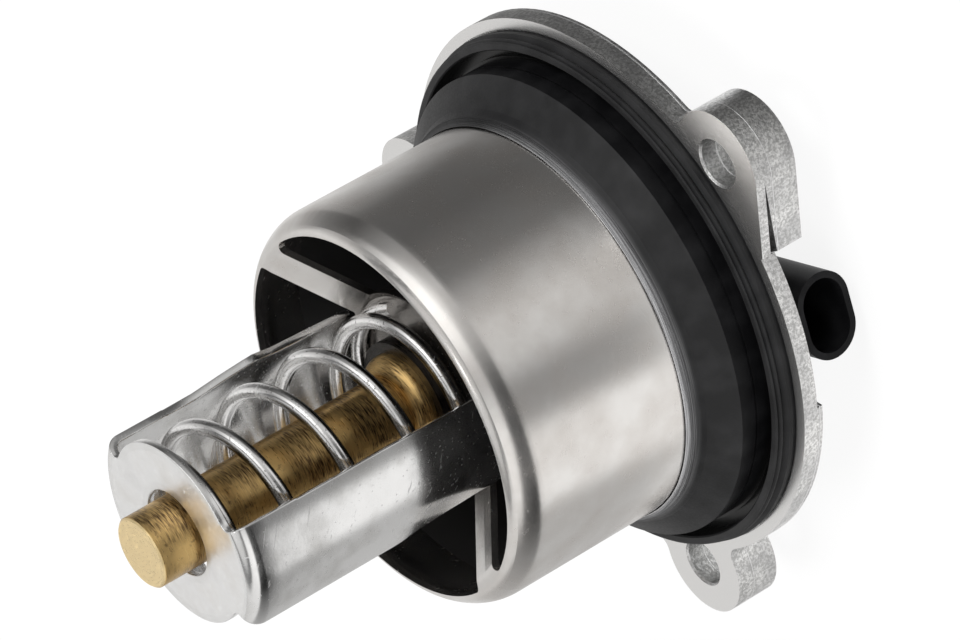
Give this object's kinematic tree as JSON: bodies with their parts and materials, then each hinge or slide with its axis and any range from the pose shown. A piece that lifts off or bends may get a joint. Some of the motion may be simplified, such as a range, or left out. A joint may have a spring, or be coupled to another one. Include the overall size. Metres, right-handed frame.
{
  "type": "engine thermostat",
  "caption": "Flanged engine coolant thermostat insert with a sliding drawn sleeve valve, sheet yoke, conical return spring, wax element and side electrical socket.",
  "frame": {"origin": "centre of the flange's machined front face and of its gasket ring, on the axis of the valve", "axes": "+Z along the valve's axis from the flange towards the yoke's end plate, the way the sleeve lifts; +Y from the axis through the ear beside the connector; +X completes a right-handed set"},
  "size_m": [0.1154, 0.1232, 0.1263],
  "materials": {
    "cast_cover": "machined face, sand-cast grain elsewhere",
    "black_rubber": "moulded matte",
    "black_plastic": "moulded matte",
    "drawn_steel": "drawn satin",
    "strip_steel": "bright rolled",
    "spring_steel": "polished wire",
    "dark_steel": "oiled dark",
    "turned_brass": "turned, lightly tarnished",
    "hardened_steel": "ground",
    "amber_wax": "solid wax with copper powder",
    "contact_tin": "tinned"
  },
  "bodies": {
    "cover": {"cover_casting": "cast_cover", "flange_gasket": "black_rubber", "seal_cage": "black_plastic", "sleeve_seal": "black_rubber", "seal_lip_ring": "black_rubber", "sleeve_seat": "black_rubber", "working_pin": "hardened_steel", "pin_o_ring": "black_rubber", "heater_rod": "hardened_steel", "return_spring": "spring_steel", "yoke": "strip_steel", "connector_housing": "black_plastic", "connector_o_ring": "black_rubber", "terminal_left": "contact_tin", "terminal_right": "contact_tin", "cap_circlip": "dark_steel"},
    "valve": {"valve_sleeve": "drawn_steel", "hub_collar": "dark_steel", "element_guide": "turned_brass", "element_cup": "turned_brass", "guide_o_ring": "black_rubber", "pin_boot": "black_rubber", "wax_charge": "amber_wax"}
  },
  "joints": [
    {"name": "valve_lift", "type": "slide", "parent": "cover", "child": "valve", "axis": [0, 0, 1], "range_m": [0, 0.0095], "stiffness_N_per_m": 6500, "springref_m": -0.003, "deforming": ["return_spring"]}
  ]
}
